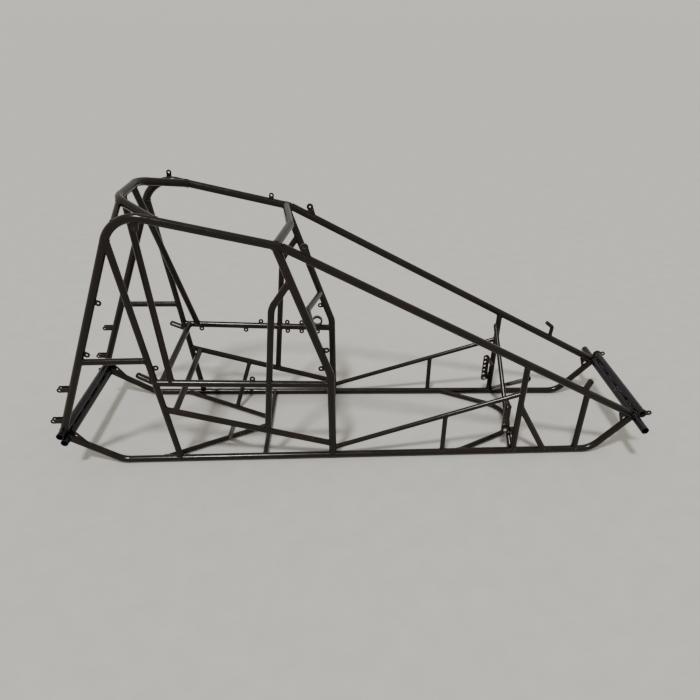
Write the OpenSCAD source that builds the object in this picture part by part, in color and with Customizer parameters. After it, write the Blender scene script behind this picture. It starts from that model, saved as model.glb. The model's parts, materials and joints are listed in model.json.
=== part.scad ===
// Bare space-frame chassis of an open-wheel race car sprung on torsion bars.
// Every member is its own tube or plate: round steel tube, bent where the real one is bent
// and coped where it meets its neighbour, so the pieces fit together ready for welding.
//
// X points forward, Y to the car's left and Z up. The lower rails stand on Z = 0.
// In a route, the first number is the length along the car from the rear torsion tubes and
// the last is the height above the middle of the lower rails. move_home() then puts the
// origin on the floor under the middle of the chassis.
// Two flat side frames carry most members. They close in a little towards the nose.

/* [Plan] */
// From the rear torsion tubes to the front crossing torsion tube
torsion_span = 2902; // [2890:1:2915]
// Half the width between the side frames at the rear torsion tubes
rear_half_w = 311; // [305:1:316]
// Half the width between the side frames at the front torsion tubes
nose_half_w = 269; // [265:1:273]

/* [Tubes] */
// Outside diameter of the cage rails, down rails and front uprights
main_d = 38.1; // [37:0.1:39]
// Outside diameter of the lower rails and mid rails
rail_d = 34.9; // [34:0.1:36]
// Outside diameter of the braces and diagonals
brace_d = 31.8; // [31:0.1:33]
// Outside diameter of the light tubes in the nose and floor
light_d = 25.4; // [24:0.1:26]
// Wall of every tube but the torsion tubes
wall = 2.4; // [1.6:0.1:3.2]
// Radius of most tube bends, to the middle of the tube
bend_r = 110; // [100:5:120]
// Radius of the bend at the rear top corner of the cage
cage_bend_r = 150; // [140:5:160]
// Gap left at each coped joint for the weld
weld_gap = 0.3; // [0.2:0.1:0.5]

/* [Torsion tubes] */
// Outside diameter of the four torsion tubes
torsion_d = 38.1; // [37.5:0.1:39]
// Bore of the four torsion tubes
torsion_bore = 30.2; // [28:0.1:31]
// Length of the two rear torsion tubes
rear_torsion_len = 720; // [710:2:730]
// Length of the front crossing torsion tube
front_crossing_len = 800; // [790:2:810]
// Length of the short front torsion tube
front_short_len = 576; // [570:2:580]

/* [Heights] */
// Rear top corner of the cage, before its bend
cage_corner_h = 1307; // [1300:1:1312]
// Joint of the top rail, down rail and front upright
halo_h = 1150; // [1146:1:1154]
// Level bar of the rear hoop
hoop_h = 1320; // [1316:1:1326]
// Horizontal tubes between rear upright and brace
rear_side_h = 597; // [590:1:604]
// Rear end of the mid rails
mid_rail_h = 472; // [468:1:476]
// Knee of the front uprights
knee_h = 492; // [488:1:496]

/* [Plates and pedals] */
// Thickness of gussets, tabs and ears
plate_t = 4.8; // [4:0.2:5.4]
// Radius of the bolt holes in tabs
tab_hole_r = 5; // [4:0.2:6]
// Distance between the centres of a pedal arm's round ends
pedal_len = 138; // [134:1:142]
// Diameter of the pedal pivot pins
pivot_d = 10; // [8:0.5:12]

/* [Hidden] */
$fn = 48;

paint = [0.10, 0.08, 0.075];
torsion_paint = [0.10, 0.11, 0.15];
tab_paint = [0.15, 0.13, 0.12];
zinc = [0.72, 0.72, 0.70];

right = -1;
left = 1;
sides = [right, left];

// A pressed bend comes out this much larger in radius than the straight tube
bend_swell = 0.5;
// How far the straight stretches reach into a bend
bend_lap = 3;
// Half the width of a tab's neck, as a share of its round end's radius
neck_share = 0.94;

main_r = main_d / 2;
rail_r = rail_d / 2;
brace_r = brace_d / 2;
light_r = light_d / 2;
torsion_r = torsion_d / 2;

// ---- Places on the flat side frames, as [length along the car, height] ----

function at_height(a, b, h) = a + (b - a) * (h - a[1]) / (b[1] - a[1]);
function at_length(a, b, x) = a + (b - a) * (x - a[0]) / (b[0] - a[0]);

rear_upper = [-4, 193];
rear_lower = [9, 154];
front_crossing = [torsion_span, 216];
front_short = front_crossing + [27.5, 27];

cage_corner = [464, cage_corner_h];
halo_joint = [1148, halo_h];
brace_top = [418, 1198];
brace_foot = [553, 0];
upright_top = at_length(cage_corner, halo_joint, 1119);
upright_knee = [1345, knee_h];
upright_foot = [1347, 0];
bulkhead_x = 2302;
short_x = 1924;
nose_x = 2632;
halo_bar_x = 1122;
floor_cross_x = 990;
rear_cross_x = 530;
seat_cross_x = 569;

lower_rail = [rear_lower, [258, 0], [2718, 0], front_crossing];
cage_rail = [rear_upper, cage_corner, halo_joint];
down_rail = [halo_joint, front_crossing];
rear_brace = [brace_top, brace_foot];
rear_side = [at_height(rear_upper, cage_corner, rear_side_h), at_height(brace_top, brace_foot, rear_side_h)];
mid_rail = [at_height(brace_top, brace_foot, mid_rail_h), [upright_knee[0], mid_rail_h - 29]];
side_diagonal = [at_height(brace_top, brace_foot, 314), [upright_foot[0], 74]];
front_upright = [upright_top, upright_knee, upright_foot];
cockpit_upright = [at_height(upright_top, upright_knee, 992), [1083, 862], [1018, 169]];
nose_side_rail = [[upright_foot[0], 46], [bulkhead_x, 366]];
short_upright = [at_length(nose_side_rail[0], nose_side_rail[1], short_x), [short_x, 0]];
bulkhead_upright = [at_length(down_rail[0], down_rail[1], bulkhead_x), [bulkhead_x, 0]];
nose_upright = [at_length(down_rail[0], down_rail[1], nose_x), [nose_x, 0]];
nose_diagonal = [[bulkhead_x, 288], [2467, 0]];

// ---- The same places in space ----

taper = atan((rear_half_w - nose_half_w) / torsion_span);
function half_w(x) = rear_half_w - x * tan(taper);
function in_space(side, p) = [p[0], side * half_w(p[0]), p[1]];
function side_route(side, route) = [for (p = route) in_space(side, p)];

// A cross tube between the side frames at one place
function across(p) = [in_space(right, p), in_space(left, p)];

hoop_joint = at_length(cage_corner, halo_joint, 640);
hoop_corner = [441, 148, hoop_h];
hoop_route = [
    in_space(right, hoop_joint),
    [hoop_corner[0], -hoop_corner[1], hoop_corner[2]],
    hoop_corner,
    in_space(left, hoop_joint)
];
halo_end = at_length(cage_corner, halo_joint, halo_bar_x);
halo_route = [in_space(right, halo_end), [halo_bar_x + 40, 0, halo_end[1] - 6], in_space(left, halo_end)];
dash_end = at_height(upright_top, upright_knee, 666);
dash_route = [in_space(right, dash_end), [dash_end[0] - 60, 0, 702], in_space(left, dash_end)];
foot_loop_bend = 165;
foot_loop_route = [in_space(right, [1998, 0]), [2535, 0, 0], in_space(left, [1998, 0])];
rear_cross = across(at_length(mid_rail[0], mid_rail[1], rear_cross_x));
seat_cross = across(at_length(side_diagonal[0], side_diagonal[1], seat_cross_x));
floor_cross = across([floor_cross_x, 0]);
front_cross = across(upright_foot);

// Reach of the rearmost tab behind the rear torsion tubes, and of the front ears ahead of them
tab_r = 13;
tank_tab_tip = -34;
ear_ring_x = front_short[0] + 34;
rear_reach = tank_tab_tip - tab_r;
front_reach = ear_ring_x + tab_r;
mid_x = (rear_reach + front_reach) / 2;

module move_home() {
    translate([-mid_x, 0, rail_r + bend_swell])
        children();
}

// ---- Tube building blocks ----

function unit(v) = v / norm(v);
function turn(a, b, c) = acos(unit(b - a) * unit(c - b));

// Length of straight tube that a route's bend at point i takes on each side
function bend_take(route, i, bend) =
    i == 0 || i == len(route) - 1 ? 0 : bend * tan(turn(route[i - 1], route[i], route[i + 1]) / 2);

// Solid round bar from a to b
module rod(a, b, r) {
    v = b - a;
    translate(a)
        rotate([0, acos(v[2] / norm(v)), atan2(v[1], v[0])])
            cylinder(r = r, h = norm(v));
}

// The bent stretch at point b of a route that comes from a and goes on to c
module elbow(a, b, c, r, bend) {
    d = unit(b - a);
    e = unit(c - b);
    n = unit(e - d * (d * e));
    z = cross(-n, d);
    centre = b - d * bend * tan(turn(a, b, c) / 2) + n * bend;
    multmatrix([
        [-n[0], d[0], z[0], centre[0]],
        [-n[1], d[1], z[1], centre[1]],
        [-n[2], d[2], z[2], centre[2]],
        [0, 0, 0, 1]
    ])
        rotate_extrude(angle = turn(a, b, c))
            translate([bend, 0])
                circle(r = r);
}

// Solid round bar along a route of straight lines, with a bend at each inner point
module bar(route, r, bend = bend_r) {
    last = len(route) - 1;
    for (i = [0 : last - 1]) {
        d = unit(route[i + 1] - route[i]);
        rod(
            route[i] + d * (bend_take(route, i, bend) - (i > 0 ? bend_lap : 0)),
            route[i + 1] - d * (bend_take(route, i + 1, bend) - (i + 1 < last ? bend_lap : 0)),
            r
        );
    }
    for (i = [1 : 1 : last - 1])
        elbow(route[i - 1], route[i], route[i + 1], r + bend_swell, bend);
}

// Hollow tube along a route, with the children cut away where it meets its neighbours
module tube(route, r, bend = bend_r, tube_wall = wall) {
    difference() {
        bar(route, r, bend);
        bar(route, r - tube_wall, bend);
        children();
    }
}

// What a tube leaves free around a neighbour that it is coped against
module cope(route, r, bend = bend_r) {
    bar(route, r + weld_gap, bend);
}

module cope_side(side, route, r, bend = bend_r) {
    cope(side_route(side, route), r, bend);
}

// Only the straight stretch of a side member between two of its points
module cope_leg(side, a, b, r) {
    cope([in_space(side, a), in_space(side, b)], r);
}

function torsion_route(c, length) = [[c[0], -length / 2, c[1]], [c[0], length / 2, c[1]]];

module cope_rear_torsion() {
    cope(torsion_route(rear_upper, rear_torsion_len), torsion_r);
    cope(torsion_route(rear_lower, rear_torsion_len), torsion_r);
}

module cope_front_torsion() {
    cope(torsion_route(front_crossing, front_crossing_len), torsion_r);
    cope(torsion_route(front_short, front_short_len), torsion_r);
}

// Everything beyond the plane through p that faces along n, for a mitre
module beyond(p, n) {
    size = 90;
    translate(p)
        rotate([0, acos(n[2]), atan2(n[1], n[0])])
            translate([-size / 2, -size / 2, 0])
                cube(size);
}

mitre_2d = unit(unit(halo_joint - cage_corner) + unit(down_rail[1] - halo_joint));
mitre = [mitre_2d[0], 0, mitre_2d[1]];

// ---- Side frame members ----

module lower_rail_tube(side) {
    color(paint)
        move_home()
            tube(side_route(side, lower_rail), rail_r) {
                cope_rear_torsion();
                cope_front_torsion();
                cope_side(side, down_rail, main_r);
            }
}

module cage_rail_tube(side) {
    color(paint)
        move_home()
            tube(side_route(side, cage_rail), main_r, cage_bend_r) {
                cope_rear_torsion();
                cope_leg(side, lower_rail[0], lower_rail[1], rail_r);
                beyond(in_space(side, halo_joint) - mitre * weld_gap / 2, mitre);
            }
}

module down_rail_tube(side) {
    color(paint)
        move_home()
            tube(side_route(side, down_rail), main_r) {
                cope_front_torsion();
                beyond(in_space(side, halo_joint) + mitre * weld_gap / 2, -mitre);
            }
}

module rear_brace_tube(side) {
    color(paint)
        move_home()
            tube(side_route(side, rear_brace), brace_r) {
                cope_side(side, cage_rail, main_r, cage_bend_r);
                cope_leg(side, lower_rail[1], lower_rail[2], rail_r);
            }
}

module rear_side_tube_pair() {
    color(paint)
        move_home()
            for (side = sides)
                tube(side_route(side, rear_side), brace_r) {
                    cope_leg(side, rear_upper, cage_corner, main_r);
                    cope_side(side, rear_brace, brace_r);
                }
}

module mid_rail_tube(side) {
    color(paint)
        move_home()
            tube(side_route(side, mid_rail), rail_r) {
                cope_side(side, rear_brace, brace_r);
                cope_side(side, front_upright, main_r);
                cope_leg(side, cockpit_upright[1], cockpit_upright[2], brace_r);
            }
}

module side_diagonal_tube(side) {
    color(paint)
        move_home()
            tube(side_route(side, side_diagonal), brace_r) {
                cope_side(side, rear_brace, brace_r);
                cope_leg(side, upright_knee, upright_foot, main_r);
            }
}

module front_upright_tube(side) {
    color(paint)
        move_home()
            tube(side_route(side, front_upright), main_r) {
                cope_leg(side, cage_corner, halo_joint, main_r);
                cope_leg(side, down_rail[0], down_rail[1], main_r);
                cope_leg(side, lower_rail[1], lower_rail[2], rail_r);
            }
}

module cockpit_upright_tube(side) {
    color(paint)
        move_home()
            tube(side_route(side, cockpit_upright), brace_r) {
                cope_leg(side, upright_top, upright_knee, main_r);
                cope_side(side, side_diagonal, brace_r);
            }
}

module nose_side_rail_tube(side) {
    color(paint)
        move_home()
            tube(side_route(side, nose_side_rail), light_r) {
                cope_leg(side, upright_knee, upright_foot, main_r);
                cope_side(side, bulkhead_upright, brace_r);
                cope_leg(side, lower_rail[1], lower_rail[2], rail_r);
            }
}

module short_upright_pair() {
    color(paint)
        move_home()
            for (side = sides)
                tube(side_route(side, short_upright), light_r) {
                    cope_side(side, nose_side_rail, light_r);
                    cope_leg(side, lower_rail[1], lower_rail[2], rail_r);
                }
}

module bulkhead_upright_tube(side) {
    color(paint)
        move_home()
            tube(side_route(side, bulkhead_upright), brace_r) {
                cope_side(side, down_rail, main_r);
                cope_leg(side, lower_rail[1], lower_rail[2], rail_r);
            }
}

module nose_upright_tube() {
    color(paint)
        move_home()
            tube(side_route(right, nose_upright), brace_r) {
                cope_side(right, down_rail, main_r);
                cope_leg(right, lower_rail[1], lower_rail[2], rail_r);
            }
}

module nose_diagonal_tube() {
    color(paint)
        move_home()
            tube(side_route(right, nose_diagonal), brace_r) {
                cope_side(right, bulkhead_upright, brace_r);
                cope_leg(right, lower_rail[1], lower_rail[2], rail_r);
            }
}

// ---- Members between the side frames ----

module rear_hoop_tube() {
    color(paint)
        move_home()
            tube(hoop_route, main_r)
                for (side = sides)
                    cope_side(side, cage_rail, main_r, cage_bend_r);
}

module hoop_stay_pair() {
    color(paint)
        move_home()
            for (side = sides)
                tube([[hoop_corner[0] + 10, side * (hoop_corner[1] - 4), hoop_h - 4],
                      in_space(side, cage_corner + [2, -44])], light_r) {
                    cope(hoop_route, main_r);
                    cope_side(side, cage_rail, main_r, cage_bend_r);
                }
}

module seat_back_tube(side) {
    foot = in_space(side, at_length(mid_rail[0], mid_rail[1], 578));
    color(paint)
        move_home()
            tube([[hoop_corner[0], side * 70, hoop_h], foot], brace_r) {
                cope([hoop_route[1], hoop_route[2]], main_r);
                cope_side(side, mid_rail, rail_r);
            }
}

module halo_bar_tube() {
    color(paint)
        move_home()
            tube(halo_route, main_r)
                for (side = sides) {
                    cope_leg(side, cage_corner, halo_joint, main_r);
                    cope_leg(side, upright_top, upright_knee, main_r);
                }
}

module dash_bar_tube() {
    color(paint)
        move_home()
            tube(dash_route, brace_r)
                for (side = sides)
                    cope_leg(side, upright_top, upright_knee, main_r);
}

module rear_cross() {
    color(paint)
        move_home()
            tube(rear_cross, brace_r)
                for (side = sides)
                    cope_side(side, mid_rail, rail_r);
}

module seat_cross() {
    color(paint)
        move_home()
            tube(seat_cross, brace_r)
                for (side = sides)
                    cope_side(side, side_diagonal, brace_r);
}

// A cross tube between the lower rails
module floor_tube(route) {
    color(paint)
        move_home()
            tube(route, light_r)
                for (side = sides) {
                    cope_leg(side, lower_rail[1], lower_rail[2], rail_r);
                    cope_leg(side, upright_knee, upright_foot, main_r);
                }
}

function floor_brace_route(side) = [in_space(side, [455, 0]), [floor_cross_x, side * 30, 0]];

module rear_floor_brace_pair() {
    color(paint)
        move_home()
            for (side = sides)
                tube(floor_brace_route(side), light_r) {
                    cope_leg(side, lower_rail[1], lower_rail[2], rail_r);
                    cope(floor_cross, light_r);
                }
}

module foot_loop_tube() {
    color(paint)
        move_home()
            tube(foot_loop_route, light_r, foot_loop_bend)
                for (side = sides)
                    cope_leg(side, lower_rail[1], lower_rail[2], rail_r);
}

function strut_foot(side) = [780, side * 142, 0];

module seat_strut_pair() {
    color(paint)
        move_home()
            for (side = sides)
                tube([in_space(side, at_length(side_diagonal[0], side_diagonal[1], 852)), strut_foot(side)],
                     light_r) {
                    cope_side(side, side_diagonal, brace_r);
                    cope(floor_brace_route(side), light_r);
                }
}

// Diagonal across the bulkhead, low on one side and high on the other, with upright cut ends
module bulkhead_brace(high_side, x_offset) {
    low = in_space(-high_side, [bulkhead_x, 12]) + [x_offset, 0, 0];
    high = in_space(high_side, [bulkhead_x, 452]) + [x_offset, 0, 0];
    spare = unit(high - low) * light_r;
    color(paint)
        move_home()
            tube([low - spare, high + spare], light_r) {
                cope_side(right, bulkhead_upright, brace_r);
                cope_side(left, bulkhead_upright, brace_r);
                cope_leg(-high_side, lower_rail[1], lower_rail[2], rail_r);
                beyond(low, [0, -high_side, 0]);
                beyond(high, [0, high_side, 0]);
            }
}

module torsion_tube(c, length) {
    color(torsion_paint)
        move_home()
            tube(torsion_route(c, length), torsion_r, bend_r, (torsion_d - torsion_bore) / 2);
}

// ---- Plates, tabs and brackets ----

// Flat plate in a side frame's plane: its outline is drawn as [length, height],
// and offset moves it out from the middle of the frame
module side_plate(side, thickness = plate_t, offset = 0) {
    mirror([0, side < 0 ? 1 : 0, 0])
        translate([0, rear_half_w, 0])
            rotate([0, 0, -taper])
                translate([0, offset + thickness / 2, 0])
                    rotate([90, 0, 0])
                        linear_extrude(thickness)
                            children();
}

// Tab outline with a round end and a bolt hole, from its root towards its tip.
// Its neck is a little narrower than its end.
module tab_outline(root, tip, r = tab_r, hole_r = tab_hole_r) {
    v = tip - root;
    neck = neck_share * r;
    difference() {
        union() {
            translate(tip)
                circle(r = r);
            translate(root)
                rotate(atan2(v[1], v[0]))
                    translate([0, -neck])
                        square([norm(v), 2 * neck]);
        }
        translate(tip)
            circle(r = hole_r);
    }
}

// Web in the corner ahead of the rear torsion tubes and above the lower rail
module rear_gusset_pair() {
    outline = [[8, 180], rear_lower, [104, 95], [98, 124], [60, 178], [38, 200]];
    color(paint)
        move_home()
            for (side = sides)
                difference() {
                    side_plate(side)
                        difference() {
                            polygon(outline);
                            translate([52, 163])
                                circle(r = tab_hole_r);
                        }
                    cope_rear_torsion();
                    cope_leg(side, lower_rail[0], lower_rail[1], rail_r);
                }
}

// Web between the down rail and the lower rail behind the front torsion tubes
module front_gusset_pair() {
    outline = [[2822, 232], [2850, 150], [2900, 190], [2892, 226]];
    color(paint)
        move_home()
            for (side = sides)
                difference() {
                    side_plate(side)
                        difference() {
                            polygon(outline);
                            translate([2858, 198])
                                circle(r = 9);
                        }
                    cope_front_torsion();
                    cope_side(side, down_rail, main_r);
                    cope_leg(side, lower_rail[2], lower_rail[3], rail_r);
                }
}

ear_flange_r = 24;
ear_flange_t = 8;
ear_hole_r = 6;

// Flanges on the ends of the short front torsion tube, each with a ring ear ahead of it
module torsion_ear_pair() {
    color(tab_paint)
        move_home()
            for (side = sides)
                difference() {
                    translate([0, side * (front_short_len / 2 + weld_gap + ear_flange_t / 2), 0])
                        rotate([90, 0, 0])
                            linear_extrude(ear_flange_t, center = true)
                                union() {
                                    translate(front_short)
                                        circle(r = ear_flange_r);
                                    tab_outline(
                                        front_short,
                                        [ear_ring_x, front_short[1] + 4],
                                        tab_r,
                                        ear_hole_r
                                    );
                                }
                    translate([front_short[0], 0, front_short[1]])
                        rotate([90, 0, 0])
                            cylinder(r = torsion_bore / 2, h = front_crossing_len, center = true);
                    cope(torsion_route(front_crossing, front_crossing_len), torsion_r);
                }
}

// Ring tab behind the upper rear torsion tube, near its left end
ring_tab_y = 280;
ring_tab_tip = rear_upper + [-28, -12];

module torsion_ring_tab_plate() {
    color(tab_paint)
        move_home()
            difference() {
                translate([0, ring_tab_y, 0])
                    rotate([90, 0, 0])
                        linear_extrude(plate_t, center = true)
                            tab_outline(rear_upper, ring_tab_tip);
                cope_rear_torsion();
            }
}

tank_tab_heights = [262, 447];

// Clevis tabs for the fuel tank, behind the rear uprights
module tank_tab_set() {
    color(tab_paint)
        move_home()
            for (side = sides, h = tank_tab_heights, face = [-1, 1]) {
                root = at_height(rear_upper, cage_corner, h);
                lowest = at_height(rear_upper, cage_corner, tank_tab_heights[0]);
                difference() {
                    side_plate(side, plate_t, face * 10)
                        tab_outline(root, root + [tank_tab_tip - lowest[0], 0]);
                    cope_leg(side, rear_upper, cage_corner, main_r);
                }
            }
}

// Ring tabs on the left top rail and the wing tab under the right one
module cage_tab_set() {
    color(tab_paint)
        move_home() {
            for (x = [547, 1048]) {
                foot = at_length(cage_corner, halo_joint, x);
                difference() {
                    side_plate(left)
                        tab_outline(foot, foot + [3, main_r + 15]);
                    cope_side(left, cage_rail, main_r, cage_bend_r);
                }
            }
            foot = at_length(cage_corner, halo_joint, 560);
            difference() {
                side_plate(right)
                    tab_outline(foot, foot + [-12, -main_r - 27], 17);
                cope_side(right, cage_rail, main_r, cage_bend_r);
            }
        }
}

// Lugs on the down rails just ahead of the halo, leaning back
module cage_bracket_pair() {
    foot = at_length(down_rail[0], down_rail[1], 1258);
    lug_t = 9;
    color(tab_paint)
        move_home()
            for (side = sides)
                difference() {
                    side_plate(side, lug_t)
                        tab_outline(foot, foot + [-14, 56], 17);
                    cope_side(side, down_rail, main_r);
                }
}

// Hood posts on the down rails: an eye on the right one, and a bend back at the left one's top
module hood_post_pair() {
    foot = at_length(down_rail[0], down_rail[1], 2612);
    eye_r = 13;
    eye_t = 16;
    post_r = 11;
    post_bend = 18;
    knee = foot + [5, 72];
    color(tab_paint)
        move_home() {
            difference() {
                side_plate(right, eye_t)
                    tab_outline(foot, foot + [20, 58], eye_r);
                cope_side(right, down_rail, main_r);
                cope_side(right, nose_upright, brace_r);
            }
            difference() {
                bar(side_route(left, [foot, knee, knee + [-38, 30]]), post_r, post_bend);
                cope_side(left, down_rail, main_r);
            }
        }
}

panel_tab_r = 14;
// From the face of the tube to the middle of the hole
panel_hole_out = 11;

// One body-panel tab on a straight side member between a and b
module panel_tab(side, a, b, host_r, root, reach) {
    difference() {
        side_plate(side)
            tab_outline(root, root + reach, panel_tab_r);
        cope_leg(side, a, b, host_r);
    }
}

module panel_tab_set() {
    below = [0, -rail_r - panel_hole_out];
    above = [0, rail_r + panel_hole_out];
    upright_dir = unit(cage_corner - rear_upper);
    ahead_of_rear_upright = [upright_dir[1], -upright_dir[0]] * (main_r + panel_hole_out);
    ahead_of_front_upright = [main_r + panel_hole_out, 4];
    color(tab_paint)
        move_home() {
            for (x = [596, 850, 1090, 1170, 1262])
                panel_tab(left, mid_rail[0], mid_rail[1], rail_r,
                    at_length(mid_rail[0], mid_rail[1], x), below);
            for (x = [940, 1090, 1172])
                panel_tab(left, mid_rail[0], mid_rail[1], rail_r,
                    at_length(mid_rail[0], mid_rail[1], x), above);
            panel_tab(right, mid_rail[0], mid_rail[1], rail_r,
                at_length(mid_rail[0], mid_rail[1], 966), above);
            panel_tab(right, upright_top, upright_knee, main_r,
                at_height(upright_top, upright_knee, 634), ahead_of_front_upright);
            panel_tab(right, upright_top, upright_knee, main_r,
                at_height(upright_top, upright_knee, 540), -ahead_of_front_upright);
            panel_tab(left, upright_top, upright_knee, main_r,
                at_height(upright_top, upright_knee, 590), -ahead_of_front_upright);
            panel_tab(right, brace_top, brace_foot, brace_r,
                at_height(brace_top, brace_foot, 554), [brace_r + panel_hole_out, 3]);
            for (h = [912, 648])
                panel_tab(right, rear_upper, cage_corner, main_r,
                    at_height(rear_upper, cage_corner, h), ahead_of_rear_upright);
        }
}

// Slotted tabs reaching back and up from the braces
module slotted_tab_pair() {
    slot_r = 6;
    slot_half_w = neck_share * slot_r;
    outer_r = 15;
    strap_w = 12;
    reaches = [[-72, 46], [-72, 32]];
    root_heights = [466, 438];
    color(tab_paint)
        move_home()
            for (i = [0, 1]) {
                root = at_height(brace_top, brace_foot, root_heights[i]);
                reach = reaches[i];
                difference() {
                    side_plate(sides[i], strap_w, sides[i] * strap_w / 2)
                        difference() {
                            tab_outline(root, root + reach, outer_r, slot_r);
                            translate(root + reach * 0.45)
                                circle(r = slot_r);
                            translate(root + reach * 0.45)
                                rotate(atan2(reach[1], reach[0]))
                                    translate([0, -slot_half_w])
                                        square([norm(reach) * 0.55, 2 * slot_half_w]);
                        }
                    cope_side(sides[i], rear_brace, brace_r);
                    cope_side(sides[i], mid_rail, rail_r);
                }
            }
}

steering_ring_r = 30;
steering_bore_r = 21;
steering_ring_w = 20;
steering_at = at_length(mid_rail[0], mid_rail[1], 1262) + [0, rail_r + steering_ring_r - 6];

// Steering column ring standing on the left mid rail
module steering_mount_ring() {
    color(tab_paint)
        move_home()
            difference() {
                side_plate(left, steering_ring_w)
                    difference() {
                        translate(steering_at)
                            circle(r = steering_ring_r);
                        translate(steering_at)
                            circle(r = steering_bore_r);
                    }
                cope_side(left, mid_rail, rail_r);
                cope_leg(left, upright_top, upright_knee, main_r);
            }
}

// ---- Pedals ----

pedal_x = 2252;
pedal_y = 243;
pedal_foot_h = 119;
arm_t = 8;
arm_r = 18;
arm_neck = neck_share * arm_r;
pin_fit = 0.05;
ear_gap = 1;
ear_y = pedal_y + arm_t / 2 + ear_gap + plate_t / 2;
foot_bar_at = [pedal_x + 12, pedal_foot_h + pedal_len - 4];
foot_bar_r = 9;
foot_bar_len = 82;

// Bracket on the bulkhead upright that carries a pedal's pin: an ear with a block at its root
module pedal_bracket_pair() {
    ear_root = [bulkhead_x, pedal_foot_h];
    ear_tip = [pedal_x, pedal_foot_h];
    ear_r = 16;
    block_l = 24;
    block_reach = half_w(bulkhead_x) - ear_y;
    block_half_h = neck_share * ear_r;
    block_at = [bulkhead_x - block_l, ear_y, pedal_foot_h - block_half_h];
    color(tab_paint)
        move_home()
            for (side = sides)
                difference() {
                    union() {
                        translate([0, side * ear_y, 0])
                            rotate([90, 0, 0])
                                linear_extrude(plate_t, center = true)
                                    tab_outline(ear_root, ear_tip, ear_r, pivot_d / 2);
                        mirror([0, side < 0 ? 1 : 0, 0])
                            translate(block_at)
                                cube([block_l, block_reach, 2 * block_half_h]);
                    }
                    cope_side(side, bulkhead_upright, brace_r);
                }
}

// Pivot pins: a head on the inner side of the arm and a nut behind the ear
module pedal_pin_pair() {
    head_r = pivot_d * 0.85;
    head_t = 5;
    inner_face = pedal_y - arm_t / 2 - ear_gap;
    outer_face = ear_y + plate_t / 2;
    color(zinc)
        move_home()
            for (side = sides)
                translate([pedal_x, 0, pedal_foot_h])
                    rotate([-90 * side, 0, 0]) {
                        translate([0, 0, inner_face - head_t])
                            cylinder(r = head_r, h = head_t);
                        translate([0, 0, inner_face - head_t / 2])
                            cylinder(r = pivot_d / 2 - 0.01, h = outer_face - inner_face + head_t);
                        translate([0, 0, outer_face + 0.2])
                            cylinder(r = head_r, h = head_t, $fn = 6);
                    }
}

// Drilled pedal arm, upright in its own plane
module pedal_arm(side) {
    top = pedal_foot_h + pedal_len;
    holes = 5;
    hole_r = 7;
    hole_back = 5;
    color(tab_paint)
        move_home()
            translate([pedal_x, side * pedal_y, 0])
                rotate([90, 0, 0])
                    linear_extrude(arm_t, center = true)
                        difference() {
                            union() {
                                for (h = [pedal_foot_h, top])
                                    translate([0, h])
                                        circle(r = arm_r);
                                translate([-arm_neck, pedal_foot_h])
                                    square([2 * arm_neck, pedal_len]);
                            }
                            translate([0, pedal_foot_h])
                                circle(r = pivot_d / 2 + pin_fit);
                            for (i = [1 : holes])
                                translate([-hole_back, pedal_foot_h + pedal_len * i / holes])
                                    circle(r = hole_r);
                        }
}

// Round bar for the foot, welded to the inner side of the arm
module foot_bar(side) {
    start = pedal_y - arm_t / 2 - weld_gap;
    color(tab_paint)
        move_home()
            rod(
                [foot_bar_at[0], side * start, foot_bar_at[1]],
                [foot_bar_at[0], side * (start - foot_bar_len), foot_bar_at[1]],
                foot_bar_r
            );
}

lower_rail_tube(right);  // lower_rail_right
lower_rail_tube(left);  // lower_rail_left
cage_rail_tube(right);  // cage_rail_right
cage_rail_tube(left);  // cage_rail_left
down_rail_tube(right);  // down_rail_right
down_rail_tube(left);  // down_rail_left
rear_brace_tube(right);  // rear_brace_right
rear_brace_tube(left);  // rear_brace_left
rear_side_tube_pair();  // rear_side_tubes
mid_rail_tube(right);  // mid_rail_right
mid_rail_tube(left);  // mid_rail_left
side_diagonal_tube(right);  // side_diagonal_right
side_diagonal_tube(left);  // side_diagonal_left
front_upright_tube(right);  // front_upright_right
front_upright_tube(left);  // front_upright_left
cockpit_upright_tube(right);  // cockpit_upright_right
cockpit_upright_tube(left);  // cockpit_upright_left
nose_side_rail_tube(right);  // nose_side_rail_right
nose_side_rail_tube(left);  // nose_side_rail_left
short_upright_pair();  // short_uprights
bulkhead_upright_tube(right);  // bulkhead_upright_right
bulkhead_upright_tube(left);  // bulkhead_upright_left
rear_hoop_tube();  // rear_hoop
hoop_stay_pair();  // hoop_stays
seat_back_tube(right);  // seat_back_tube_right
seat_back_tube(left);  // seat_back_tube_left
halo_bar_tube();  // halo_bar
dash_bar_tube();  // dash_bar
rear_cross();  // rear_cross_tube
seat_cross();  // seat_cross_tube
floor_tube(floor_cross);  // floor_cross_tube
floor_tube(front_cross);  // front_cross_tube
rear_floor_brace_pair();  // rear_floor_braces
foot_loop_tube();  // foot_loop
seat_strut_pair();  // seat_struts
bulkhead_brace(left, -light_r - 1);  // bulkhead_brace_rear
bulkhead_brace(right, light_r + 1);  // bulkhead_brace_front
nose_upright_tube();  // nose_upright
nose_diagonal_tube();  // nose_diagonal
torsion_tube(rear_upper, rear_torsion_len);  // rear_torsion_tube_upper
torsion_tube(rear_lower, rear_torsion_len);  // rear_torsion_tube_lower
torsion_tube(front_crossing, front_crossing_len);  // front_torsion_tube_crossing
torsion_tube(front_short, front_short_len);  // front_torsion_tube_short
torsion_ear_pair();  // torsion_ears
torsion_ring_tab_plate();  // torsion_ring_tab
rear_gusset_pair();  // rear_gussets
front_gusset_pair();  // front_gussets
tank_tab_set();  // tank_tabs
cage_tab_set();  // cage_tabs
cage_bracket_pair();  // cage_brackets
hood_post_pair();  // hood_posts
panel_tab_set();  // panel_tabs
slotted_tab_pair();  // slotted_tabs
steering_mount_ring();  // steering_mount
pedal_bracket_pair();  // pedal_brackets
pedal_pin_pair();  // pedal_pins
pedal_arm(left);  // brake_pedal_arm
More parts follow.
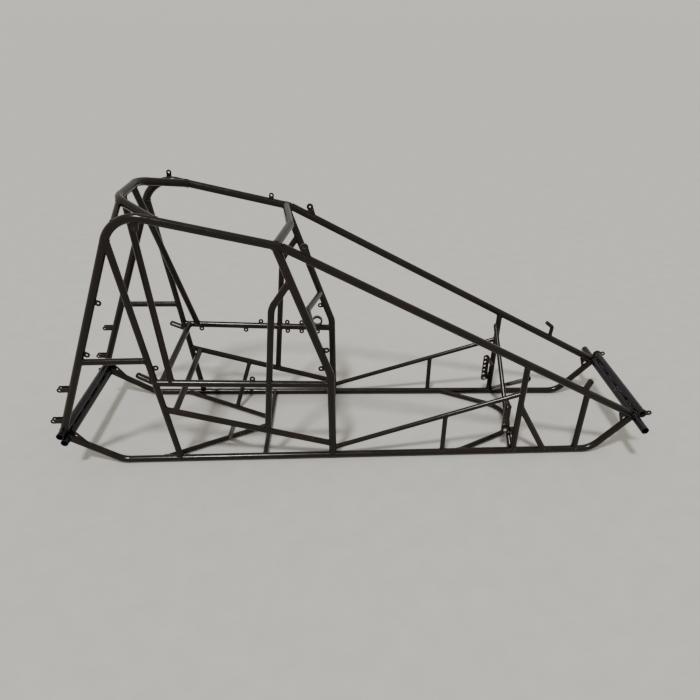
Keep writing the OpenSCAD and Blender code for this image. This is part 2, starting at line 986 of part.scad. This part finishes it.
foot_bar(left);  // brake_foot_bar
pedal_arm(right);  // throttle_pedal_arm
foot_bar(right);  // throttle_foot_bar
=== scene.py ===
"""Looks of the bare space-frame race car chassis: worn gloss paint, weld beads at every joint,
a pale floor and soft studio light. Metres, in the same frame as the CAD: +X forward, +Z up."""
import json
import math
import random

import bmesh
import bpy
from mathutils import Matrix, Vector
from mathutils.bvhtree import BVHTree


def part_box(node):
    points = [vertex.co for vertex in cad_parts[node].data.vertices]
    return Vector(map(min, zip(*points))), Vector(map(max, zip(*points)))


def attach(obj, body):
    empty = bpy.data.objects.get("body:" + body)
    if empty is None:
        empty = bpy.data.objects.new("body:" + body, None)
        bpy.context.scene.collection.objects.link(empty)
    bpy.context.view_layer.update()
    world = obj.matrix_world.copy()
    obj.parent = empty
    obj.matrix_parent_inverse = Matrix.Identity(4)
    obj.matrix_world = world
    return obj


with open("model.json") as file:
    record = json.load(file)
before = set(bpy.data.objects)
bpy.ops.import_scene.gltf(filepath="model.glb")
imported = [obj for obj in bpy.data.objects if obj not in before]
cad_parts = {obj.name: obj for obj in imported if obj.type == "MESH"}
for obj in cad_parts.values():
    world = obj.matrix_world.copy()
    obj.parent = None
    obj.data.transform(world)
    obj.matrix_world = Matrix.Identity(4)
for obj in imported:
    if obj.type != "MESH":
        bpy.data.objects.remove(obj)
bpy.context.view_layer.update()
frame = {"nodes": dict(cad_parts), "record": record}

MM = 0.001
SLOT_OF = {s["node"]: s["material_slot"] for s in frame["record"]["subparts"]}
BODY_OF = {
    node: body
    for body, nodes in frame["record"]["behaviour"]["bodies"].items()
    for node in nodes
}


# ---- Camera, floor and light ----

CAMERA_AT = (-0.07575, -2.580, 2.0178)
CAMERA_TILT = math.radians(59.25)
CAMERA_PAN = math.radians(-1.2)
CAMERA_LENS = 29.11
SENSOR_WIDTH = 36

KEY_TRAVEL = (0.20, 0.45, -1.0)
KEY_ENERGY = 2.6
KEY_SPREAD = math.radians(7)
KEY_COLOR = (1.0, 0.97, 0.92)
SURROUND_COLOR = (0.72, 0.69, 0.62, 1)
SURROUND_STRENGTH = 1.0

FLOOR_HALF = 300
FLOOR_DROP = 0.0002
FLOOR_DARK = (0.47, 0.465, 0.45)
FLOOR_LIGHT = (0.51, 0.505, 0.49)


def add_camera():
    """Standing beside the car's right side, looking down on it."""
    data = bpy.data.cameras.new("camera")
    data.sensor_width = SENSOR_WIDTH
    data.lens = CAMERA_LENS
    camera = bpy.data.objects.new("camera", data)
    camera.location = CAMERA_AT
    camera.rotation_euler = (CAMERA_TILT, 0, CAMERA_PAN)
    bpy.context.collection.objects.link(camera)
    bpy.context.scene.camera = camera


def add_studio():
    """A broad soft key from the right rear, high up, and an even pale surround."""
    data = bpy.data.lights.new("key", "SUN")
    data.energy = KEY_ENERGY
    data.angle = KEY_SPREAD
    data.color = KEY_COLOR
    key = bpy.data.objects.new("key", data)
    key.rotation_euler = Vector(KEY_TRAVEL).to_track_quat("-Z", "Y").to_euler()
    bpy.context.collection.objects.link(key)
    world = bpy.data.worlds.new("studio")
    world.use_nodes = True
    background = world.node_tree.nodes["Background"]
    background.inputs["Color"].default_value = SURROUND_COLOR
    background.inputs["Strength"].default_value = SURROUND_STRENGTH
    bpy.context.scene.world = world


def add_floor():
    """A wide pale matt floor, a hair below the lower rails."""
    mesh = bpy.data.meshes.new("floor")
    corners = [
        (x * FLOOR_HALF, y * FLOOR_HALF, -FLOOR_DROP)
        for x, y in ((-1, -1), (1, -1), (1, 1), (-1, 1))
    ]
    mesh.from_pydata(corners, [], [(0, 1, 2, 3)])
    floor = bpy.data.objects.new("floor", mesh)
    bpy.context.collection.objects.link(floor)
    graph = Graph("floor")
    graph.shader.inputs["Roughness"].default_value = 0.85
    graph.shader.inputs["Specular IOR Level"].default_value = 0.1
    grain = graph.noise(9, 6, 0.6)
    color = graph.ramp(grain, [(0.3, FLOOR_DARK), (0.7, FLOOR_LIGHT)])
    graph.link(color, "Base Color")
    graph.bump(graph.noise(260, 3, 0.6), 0.15, 0.0006)
    mesh.materials.append(graph.material)


# ---- Procedural materials ----

class Graph:
    """A material with one Principled shader, and short calls for the nodes that feed it."""

    def __init__(self, name):
        self.material = bpy.data.materials.new(name)
        self.material.use_nodes = True
        self.tree = self.material.node_tree
        self.shader = self.tree.nodes["Principled BSDF"]
        self.place = self.node("ShaderNodeTexCoord").outputs["Object"]

    def node(self, kind, **settings):
        made = self.tree.nodes.new(kind)
        for name, value in settings.items():
            setattr(made, name, value)
        return made

    def wire(self, value, socket):
        if isinstance(value, bpy.types.NodeSocket):
            self.tree.links.new(value, socket)
        else:
            socket.default_value = value

    def link(self, output, socket_name):
        self.tree.links.new(output, self.shader.inputs[socket_name])

    def noise(self, scale, detail=4, rough=0.5, stretch=None):
        place = self.place
        if stretch:
            mapping = self.node("ShaderNodeMapping")
            mapping.inputs["Scale"].default_value = stretch
            self.wire(place, mapping.inputs["Vector"])
            place = mapping.outputs["Vector"]
        made = self.node("ShaderNodeTexNoise")
        self.wire(place, made.inputs["Vector"])
        made.inputs["Scale"].default_value = scale
        made.inputs["Detail"].default_value = detail
        made.inputs["Roughness"].default_value = rough
        return made.outputs["Fac"]

    def ramp(self, factor, stops):
        made = self.node("ShaderNodeValToRGB")
        self.wire(factor, made.inputs["Fac"])
        points = made.color_ramp.elements
        while len(points) < len(stops):
            points.new(0.5)
        for point, (at, color) in zip(points, stops):
            point.position = at
            point.color = (*color, 1)
        return made.outputs["Color"]

    def span(self, value, low, high, to_low=0.0, to_high=1.0):
        made = self.node("ShaderNodeMapRange", clamp=True)
        for name, number in (
            ("Value", value), ("From Min", low), ("From Max", high),
            ("To Min", to_low), ("To Max", to_high),
        ):
            self.wire(number, made.inputs[name])
        return made.outputs["Result"]

    def math(self, operation, a, b):
        made = self.node("ShaderNodeMath", operation=operation)
        self.wire(a, made.inputs[0])
        self.wire(b, made.inputs[1])
        return made.outputs["Value"]

    def mix(self, factor, a, b):
        made = self.node("ShaderNodeMix", data_type="RGBA")
        self.wire(factor, made.inputs["Factor"])
        self.wire(a if isinstance(a, bpy.types.NodeSocket) else (*a, 1), made.inputs[6])
        self.wire(b if isinstance(b, bpy.types.NodeSocket) else (*b, 1), made.inputs[7])
        return made.outputs[2]

    def facing_up(self):
        normal = self.node("ShaderNodeNewGeometry").outputs["Normal"]
        split = self.node("ShaderNodeSeparateXYZ")
        self.wire(normal, split.inputs["Vector"])
        return split.outputs["Z"]

    def bump(self, height, strength, distance):
        made = self.node("ShaderNodeBump")
        made.inputs["Strength"].default_value = strength
        made.inputs["Distance"].default_value = distance
        self.wire(height, made.inputs["Height"])
        self.link(made.outputs["Normal"], "Normal")


# Lighter tone mixed onto upward faces: settled dust, and partly a painted sky reflection on the tube
# tops.
DUST_AND_SKY_REFLECTION_COLOR = (0.24, 0.20, 0.16)
PAINT_SPECULAR = 0.30
STREAK_LIFT = 1.4
SHEEN_SPREAD = 0.12
CHIP_EDGE = 0.03


def paint_material(name, dark, brown, chip, gloss, wear=0.66, dust_sky_reflection_amount=0.035):
    """Gloss paint gone patchy: a brown cast that is partly the paint's own tint and partly a painted
    reflection of a tan ground, lighter specks on upward faces that are settled dust and partly a
    painted sky reflection, small chips and orange peel.
    """
    graph = Graph(name)
    # Patches towards the brown tone: partly the paint's own tint, partly a painted reflection of a tan
    # ground.
    patches = graph.noise(5.5, 5, 0.6)
    color = graph.ramp(patches, [(0.32, dark), (0.68, brown)])
    streaks = graph.noise(26, 6, 0.65, (1.0, 1.0, 0.35))
    streaked = graph.span(streaks, 0.5, 0.85, 0.0, 0.3)
    color = graph.mix(streaked, color, [STREAK_LIFT * c for c in brown])
    # Upward faces get lighter specks: settled dust, and partly a painted sky reflection. The same mask
    # also raises roughness where the dust lies.
    up = graph.span(graph.facing_up(), 0.25, 0.95)
    specks = graph.span(graph.noise(14, 6, 0.7), 0.42, 0.78, 0.0, dust_sky_reflection_amount)
    settled_dust_and_sky_reflection = graph.math("MULTIPLY", up, specks)
    color = graph.mix(settled_dust_and_sky_reflection, color, DUST_AND_SKY_REFLECTION_COLOR)
    chips = graph.span(graph.noise(95, 5, 0.6), wear, wear + CHIP_EDGE)
    fields = graph.span(graph.noise(7, 3, 0.5), 0.47, 0.62)
    chips = graph.math("MULTIPLY", chips, fields)
    color = graph.mix(chips, color, chip)
    graph.link(color, "Base Color")
    sheen = graph.span(graph.noise(38, 5, 0.6), 0.3, 0.75, gloss, gloss + SHEEN_SPREAD)
    sheen = graph.math("ADD", sheen, graph.math("MULTIPLY", settled_dust_and_sky_reflection, 0.9))
    sheen = graph.math("ADD", sheen, graph.math("MULTIPLY", chips, 0.35))
    graph.link(sheen, "Roughness")
    peel = graph.noise(420, 3, 0.5)
    dips = graph.math("SUBTRACT", peel, graph.math("MULTIPLY", chips, 2.0))
    graph.bump(dips, 0.08, 0.0001)
    graph.shader.inputs["Specular IOR Level"].default_value = PAINT_SPECULAR
    return graph.material


def zinc_material():
    """Zinc plate: bright with a faint yellow bloom and turning marks."""
    graph = Graph("zinc")
    stops = [(0.35, (0.62, 0.61, 0.57)), (0.7, (0.70, 0.66, 0.52))]
    bloom = graph.ramp(graph.noise(60, 4, 0.6), stops)
    graph.link(bloom, "Base Color")
    graph.shader.inputs["Metallic"].default_value = 1.0
    graph.link(graph.span(graph.noise(150, 5, 0.6), 0.3, 0.7, 0.28, 0.5), "Roughness")
    graph.bump(graph.noise(900, 2, 0.5), 0.3, 0.0001)
    return graph.material


def make_materials():
    """One material for each material slot of the record."""
    return {
        # The frame's brown is partly its own tint and partly a painted reflection of a tan ground.
        "frame_paint": paint_material(
            "frame_paint", dark=(0.0012, 0.0009, 0.0008), brown=(0.0080, 0.0036, 0.0020),
            chip=(0.11, 0.06, 0.035), gloss=0.13),
        "torsion_paint": paint_material(
            "torsion_paint", dark=(0.0018, 0.0022, 0.0048), brown=(0.005, 0.006, 0.011),
            chip=(0.16, 0.15, 0.14), gloss=0.15, wear=0.64),
        "bracket_paint": paint_material(
            "bracket_paint", dark=(0.0022, 0.0017, 0.0015), brown=(0.012, 0.0062, 0.004),
            chip=(0.15, 0.085, 0.05), gloss=0.22, wear=0.62),
        # Weld beads get a little more of the dust and painted sky reflection on their tops.
        "weld_paint": paint_material(
            "weld_paint", dark=(0.004, 0.003, 0.0026), brown=(0.015, 0.010, 0.007),
            chip=(0.17, 0.12, 0.08), gloss=0.20, wear=0.63, dust_sky_reflection_amount=0.05),
        "zinc_bolts": zinc_material(),
    }


def paint_nodes(materials):
    for name, node in frame["nodes"].items():
        slots = node.data.materials
        if not slots:
            slots.append(None)
        for i in range(len(slots)):
            slots[i] = materials[SLOT_OF[name]]


# ---- Weld beads ----

NOT_WELDED = {"pedal_pins"}
SMALL_WORDS = ("tab", "bracket", "pedal", "foot_bar")
BEAD_R = 2.7 * MM
RIPPLE = 3.3 * MM
STEP = 1.65 * MM
SIDES = 8
SMALL_SCALE = 0.7
REACH = 1.3 * MM
JOIN_WITHIN = 2e-6
SHORTEST = 14 * MM
SAME_END = 13 * MM
CREASE = math.radians(32)
FEWEST_RINGS = 8
SMOOTH_PASSES = 4

LEAST_R = 0.80
SWELL = 0.22
UNEVEN = (0.95, 1.05)
LEAN = 0.25
RISE = 0.35
FLATTEN = 0.85

STITCH = 34 * MM
STITCH_SCALE = 1.25
STITCH_STEPS = 12
STITCH_Y = (-235, -120, 0, 120, 235)
STITCH_SCATTER = 8
GROOVE_H = 8 * MM


def welded_mesh(node):
    """The node's mesh with the vertices that its faces share joined again."""
    mesh = bmesh.new()
    mesh.from_mesh(node.data)
    bmesh.ops.remove_doubles(mesh, verts=mesh.verts, dist=JOIN_WITHIN)
    mesh.normal_update()
    return mesh


def near_another(point, name, trees):
    """Whether a node of the same body lies within a weld's reach of the point."""
    for other, (tree, low, high) in trees.items():
        if other == name or BODY_OF[other] != BODY_OF[name]:
            continue
        if any(point[i] < low[i] - REACH or point[i] > high[i] + REACH for i in range(3)):
            continue
        if tree.find_nearest(point, REACH)[0] is not None:
            return True
    return False


def chains(edges):
    """Sharp edges sorted into runs of vertices, each with whether it closes."""
    joined = {}
    for edge in edges:
        for vert in edge.verts:
            joined.setdefault(vert, []).append(edge)
    left = set(edges)
    runs = []
    starts = [v for v, around in joined.items() if len(around) == 1] + list(joined)
    for start in starts:
        here, run = start, [start]
        while True:
            ways = [e for e in joined[here] if e in left]
            if not ways:
                break
            left.discard(ways[0])
            here = ways[0].other_vert(here)
            run.append(here)
        if len(run) > 2:
            runs.append((run, run[0] is run[-1]))
    return runs


def run_length(points):
    return sum((b - a).length for a, b in zip(points, points[1:]))


def outward(vert, middle):
    """Normal of the face beside a rim that looks away from the middle of the rim."""
    away = (vert.co - middle).normalized()
    return max((face.normal for face in vert.link_faces), key=lambda n: n.dot(away)).copy()


def longest_of_each_end(found):
    """Inner and outer rim of one tube end lie round the same middle, and only the longer is welded."""
    kept = []
    for rim in sorted(found, key=lambda r: -r["length"]):
        if all((rim["middle"] - other["middle"]).length > SAME_END for other in kept):
            kept.append(rim)
    return kept


def weld_rims(name, node, trees):
    """Sharp rims of the node that meet another node, as places for beads."""
    mesh = welded_mesh(node)
    sharp = [
        edge for edge in mesh.edges
        if len(edge.link_faces) == 2 and edge.calc_face_angle(0) > CREASE
        and near_another((edge.verts[0].co + edge.verts[1].co) / 2, name, trees)
    ]
    found = []
    for run, closed in chains(sharp):
        points = [vert.co.copy() for vert in run]
        length = run_length(points)
        if length < SHORTEST:
            continue
        middle = sum(points, Vector()) / len(points)
        normals = [outward(vert, middle) for vert in run]
        found.append(dict(
            points=points, normals=normals, closed=closed, length=length, middle=middle))
    mesh.free()
    return longest_of_each_end(found)


def resampled(rim):
    """Evenly spaced places along a rim, with the smoothed outward normal at each."""
    count = max(FEWEST_RINGS, 2 * round(rim["length"] / STEP / 2))
    spacing = rim["length"] / count
    points, normals = rim["points"], rim["normals"]
    places, gone, i = [], 0.0, 0
    for k in range(count + (0 if rim["closed"] else 1)):
        at = k * spacing
        while i < len(points) - 2 and gone + (points[i + 1] - points[i]).length < at:
            gone += (points[i + 1] - points[i]).length
            i += 1
        piece = (points[i + 1] - points[i]).length or 1.0
        share = min(max((at - gone) / piece, 0.0), 1.0)
        places.append((
            points[i].lerp(points[i + 1], share),
            normals[i].lerp(normals[i + 1], share),
        ))
    for _ in range(SMOOTH_PASSES):
        places = smoothed(places, rim["closed"])
    return places


def smoothed(places, closed):
    last = len(places) - 1
    out = []
    for k, (point, normal) in enumerate(places):
        if not closed and k in (0, last):
            out.append((point, normal))
            continue
        before, after = places[k - 1], places[(k + 1) % (last + 1)]
        out.append((
            point * 0.5 + (before[0] + after[0]) * 0.25,
            normal * 0.5 + (before[1] + after[1]) * 0.25,
        ))
    return out


def add_bead(mesh, rim, bead_r, dice):
    """A rippled bead swept along one rim, with closed ends where the rim is open."""
    places = resampled(rim)
    total = len(places)
    ripples = max(2, round(rim["length"] / RIPPLE))
    rings = []
    for k, (point, normal) in enumerate(places):
        before = places[k - 1][0] if (rim["closed"] or k) else point
        after = places[(k + 1) % total][0] if (rim["closed"] or k < total - 1) else point
        along = (after - before).normalized()
        out = (normal - along * normal.dot(along)).normalized()
        across = along.cross(out)
        wave = abs(math.sin(math.pi * ripples * k / total))
        r = bead_r * (LEAST_R + SWELL * wave) * dice.uniform(*UNEVEN)
        lean = bead_r * LEAN * (wave - 0.5)
        centre = point + out * bead_r * RISE + along * lean
        rings.append([
            mesh.verts.new(centre + (
                out * math.cos(2 * math.pi * s / SIDES) * FLATTEN
                + across * math.sin(2 * math.pi * s / SIDES)
            ) * r)
            for s in range(SIDES)
        ])
    pairs = list(zip(rings, rings[1:])) + ([(rings[-1], rings[0])] if rim["closed"] else [])
    for a, b in pairs:
        for s in range(SIDES):
            mesh.faces.new((a[s], a[(s + 1) % SIDES], b[(s + 1) % SIDES], b[s]))
    if not rim["closed"]:
        mesh.faces.new(list(reversed(rings[0])))
        mesh.faces.new(rings[-1])


def object_from(mesh, name, material):
    bmesh.ops.recalc_face_normals(mesh, faces=mesh.faces)
    data = bpy.data.meshes.new(name)
    mesh.to_mesh(data)
    mesh.free()
    for face in data.polygons:
        face.use_smooth = True
    data.materials.append(material)
    made = bpy.data.objects.new(name, data)
    bpy.context.collection.objects.link(made)
    return made


def add_welds(materials):
    """A bead along each rim where two nodes of one body meet."""
    trees = {}
    for name, node in frame["nodes"].items():
        if name in NOT_WELDED:
            continue
        mesh = bmesh.new()
        mesh.from_mesh(node.data)
        trees[name] = (BVHTree.FromBMesh(mesh), *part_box(name))
        mesh.free()
    dice = random.Random(7)
    small = {name for name in trees if any(word in name for word in SMALL_WORDS)}
    for name in sorted(trees):
        rims = weld_rims(name, frame["nodes"][name], trees)
        if not rims:
            continue
        mesh = bmesh.new()
        for rim in rims:
            add_bead(mesh, rim, BEAD_R * (SMALL_SCALE if name in small else 1.0), dice)
        beads = object_from(mesh, name + "_welds", materials["weld_paint"])
        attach(beads, BODY_OF[name])


def add_stitches(materials):
    """Short beads in the groove on both sides of each pair of torsion tubes."""
    dice = random.Random(11)
    for one, two in (
        ("rear_torsion_tube_upper", "rear_torsion_tube_lower"),
        ("front_torsion_tube_crossing", "front_torsion_tube_short"),
    ):
        a, b = (sum(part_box(name), Vector()) / 2 for name in (one, two))
        groove = (b - a).cross(Vector((0, 1, 0))).normalized()
        mesh = bmesh.new()
        for side in (-1, 1):
            for y in STITCH_Y:
                along = Vector((0, (y + dice.uniform(-STITCH_SCATTER, STITCH_SCATTER)) * MM, 0))
                middle = (a + b) / 2 + groove * side * GROOVE_H + along
                points = [
                    middle + Vector((0, STITCH * (k / STITCH_STEPS - 0.5), 0))
                    for k in range(STITCH_STEPS + 1)
                ]
                rim = dict(
                    points=points, normals=[groove * side] * len(points),
                    closed=False, length=STITCH, middle=middle)
                add_bead(mesh, rim, BEAD_R * STITCH_SCALE, dice)
        beads = object_from(mesh, two + "_stitches", materials["weld_paint"])
        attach(beads, BODY_OF[two])


add_camera()
add_studio()
add_floor()
materials = make_materials()
paint_nodes(materials)
add_welds(materials)
add_stitches(materials)
